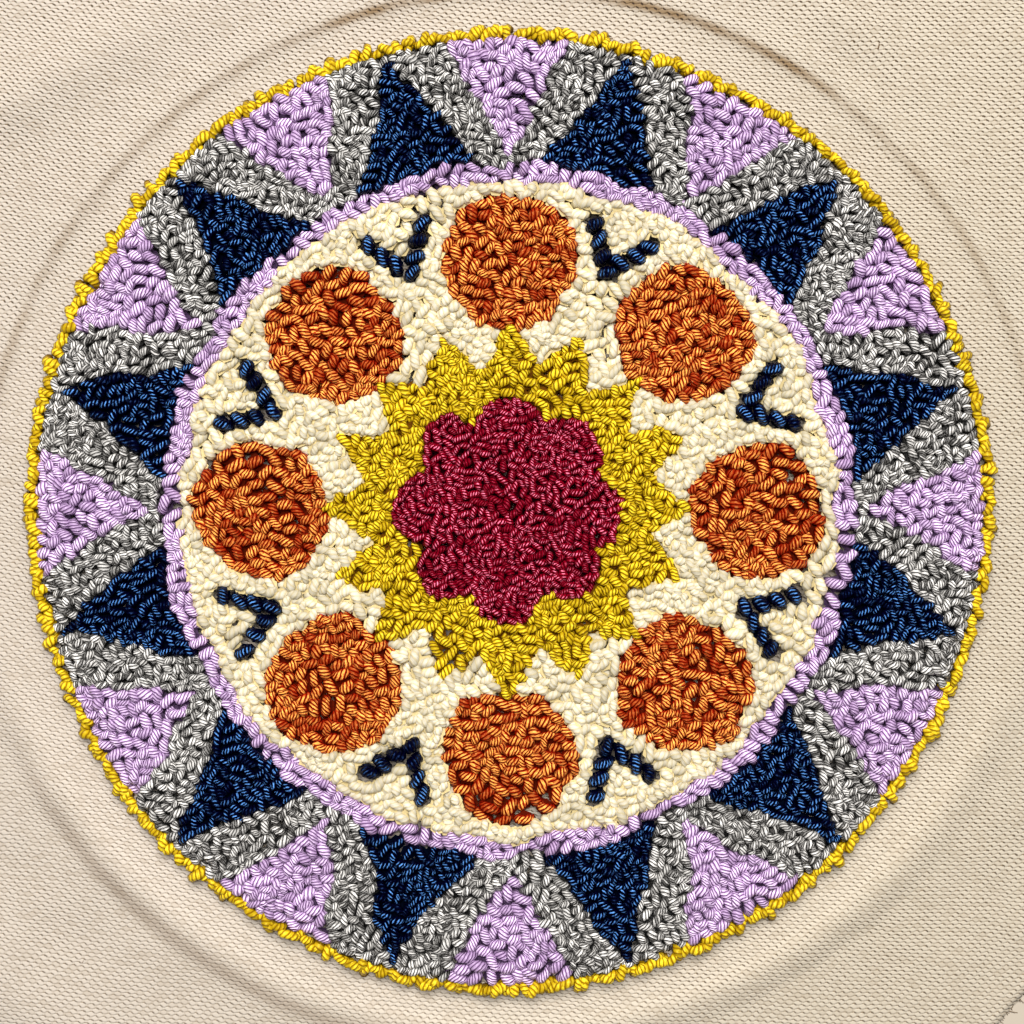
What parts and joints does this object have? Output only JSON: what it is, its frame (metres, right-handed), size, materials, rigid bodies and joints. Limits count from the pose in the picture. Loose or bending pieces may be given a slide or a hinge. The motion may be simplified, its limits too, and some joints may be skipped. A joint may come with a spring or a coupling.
{
  "type": "punch needle wall piece",
  "caption": "Round loop-pile punch needle rosette with a single-row edging, worked on a loose hand-cut piece of natural canvas that keeps its hoop crease and soft folds.",
  "frame": {"origin": "middle of the round pile, at the back of the canvas, which is also the bottom centre of the bounding box", "axes": "+Z out of the worked face, +Y up as the piece hangs, +X to the right as seen from the front"},
  "size_m": [0.2566, 0.2568, 0.0077],
  "materials": {
    "canvas": "natural unbleached plain-weave cotton canvas, matt",
    "pile_yarn": "plied cotton yarn with a soft shine, in crimson, mustard, orange, cream, navy, lilac and grey marl",
    "edge_yarn": "plied cotton yarn with a soft shine, mustard"
  },
  "bodies": {
    "root": {"backing_cloth": "canvas", "loop_pile": "pile_yarn", "edge_row": "edge_yarn"}
  },
  "joints": []
}
